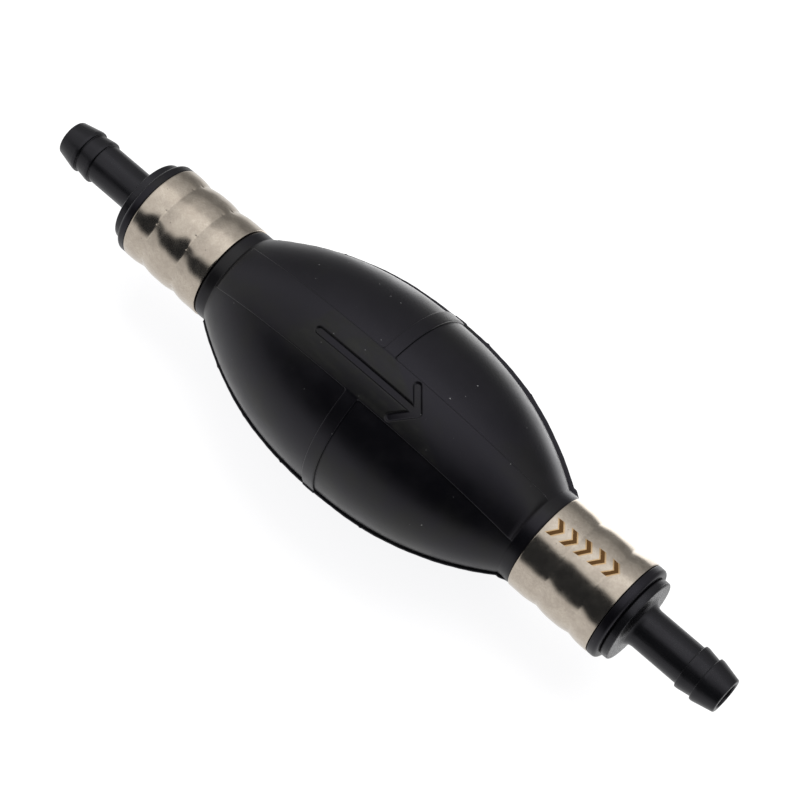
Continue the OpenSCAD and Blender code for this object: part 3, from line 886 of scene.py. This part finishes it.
darkness = maths(tree, "MULTIPLY", softly(maths(tree, "SUBTRACT", card_edge(UPPER_EDGE), local.outputs[1])),
                 softly(maths(tree, "SUBTRACT", local.outputs[1], card_edge(LOWER_EDGE))))
gloom = add(tree, "ShaderNodeEmission", {"Color": colour(0.86, 0.97, 1.12), "Strength": 0.024})
clear = add(tree, "ShaderNodeBsdfTransparent")
blocked = add(tree, "ShaderNodeMixShader", {0: darkness, 1: clear.outputs[0], 2: gloom.outputs[0]})
add(tree, "ShaderNodeOutputMaterial", {"Surface": blocked.outputs[0]})
card = square("dark_card", CARD_HALF, 0.0, dark)
normal = FACE * math.cos(CARD_TURN) + RIGHT * math.sin(CARD_TURN)
sideways = normal.cross(Vector((1, 0, 0)))
faced = Matrix((Vector((1, 0, 0)), sideways, normal)).transposed().to_4x4()
card.matrix_world = Matrix.Translation(normal * CARD_AWAY) @ faced
for ray in ("camera", "diffuse", "shadow", "transmission", "volume_scatter"):
    setattr(card, "visible_" + ray, False)

# Pale table top: a pale glow and a matt shade to the camera, only the matt shade to diffuse rays, and a
# level of its own in reflections. That level runs along Y as (position, level) from one side of the
# reflected stretch to the other, and a brighter patch lights the bulb's far rim.
REFLECTED_HALF = 0.15
REFLECTED_TONES = ((0.0, 0.80), (0.35, 0.85), (0.5, 0.92), (0.60, 0.90), (0.66, 0.58), (0.73, 0.32),
                   (1.0, 0.26))
PATCH_AT, PATCH_GLOW = (0.010, 0.041), 1.3
PATCH_RUN_X, PATCH_RUN_Y = (0.065, 0.045), (0.032, 0.012)      # where the patch fades in, from its middle
table = bpy.data.materials.new("pale_table")
tree = node_tree(table)
path = add(tree, "ShaderNodeLightPath")
spot = add(tree, "ShaderNodeSeparateXYZ", {"Vector": add(tree, "ShaderNodeTexCoord").outputs["Object"]})
glow = add(tree, "ShaderNodeEmission", {"Color": colour(0.985, 0.985, 1.0), "Strength": 0.87})
matt = add(tree, "ShaderNodeBsdfDiffuse", {"Color": colour(0.20, 0.20, 0.19)})
shown = add(tree, "ShaderNodeAddShader", {0: glow.outputs[0], 1: matt.outputs[0]})
mirrored_level = tone(tree, remap(tree, spot.outputs[1], -REFLECTED_HALF, REFLECTED_HALF, kind="LINEAR"),
                      REFLECTED_TONES)
off_x, off_y = (maths(tree, "ABSOLUTE", maths(tree, "SUBTRACT", spot.outputs[i], PATCH_AT[i]))
                for i in (0, 1))
patch = maths(tree, "MULTIPLY", remap(tree, off_x, *PATCH_RUN_X), remap(tree, off_y, *PATCH_RUN_Y))
mirrored_level = maths(tree, "MULTIPLY_ADD", patch, PATCH_GLOW, mirrored_level)
mirrored_glow = add(tree, "ShaderNodeEmission", {"Color": colour(1, 1, 1), "Strength": mirrored_level})
other = add(tree, "ShaderNodeMixShader", {0: path.outputs["Is Glossy Ray"], 1: matt.outputs[0],
                                          2: mirrored_glow.outputs[0]})
result = add(tree, "ShaderNodeMixShader", {0: path.outputs["Is Camera Ray"], 1: other.outputs[0],
                                           2: shown.outputs[0]})
add(tree, "ShaderNodeOutputMaterial", {"Surface": result.outputs[0]})
square("table_top", 3.0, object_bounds()[0].z, table)

# One broad lamp from the upper right that reflections do not show, for the faint shadow on the table
lamp = bpy.data.objects.new("soft_lamp", bpy.data.lights.new("soft_lamp", "AREA"))
lamp.data.energy, lamp.data.size = 12.0, 0.7
lamp.visible_glossy = False
lamp_from = Vector((0.05, 0.55, 0.75))
lamp.matrix_world = Matrix.Translation(lamp_from) @ (-lamp_from).to_track_quat("-Z", "Y").to_matrix().to_4x4()
bpy.context.scene.collection.objects.link(lamp)

bpy.context.scene.view_settings.view_transform = "Standard"
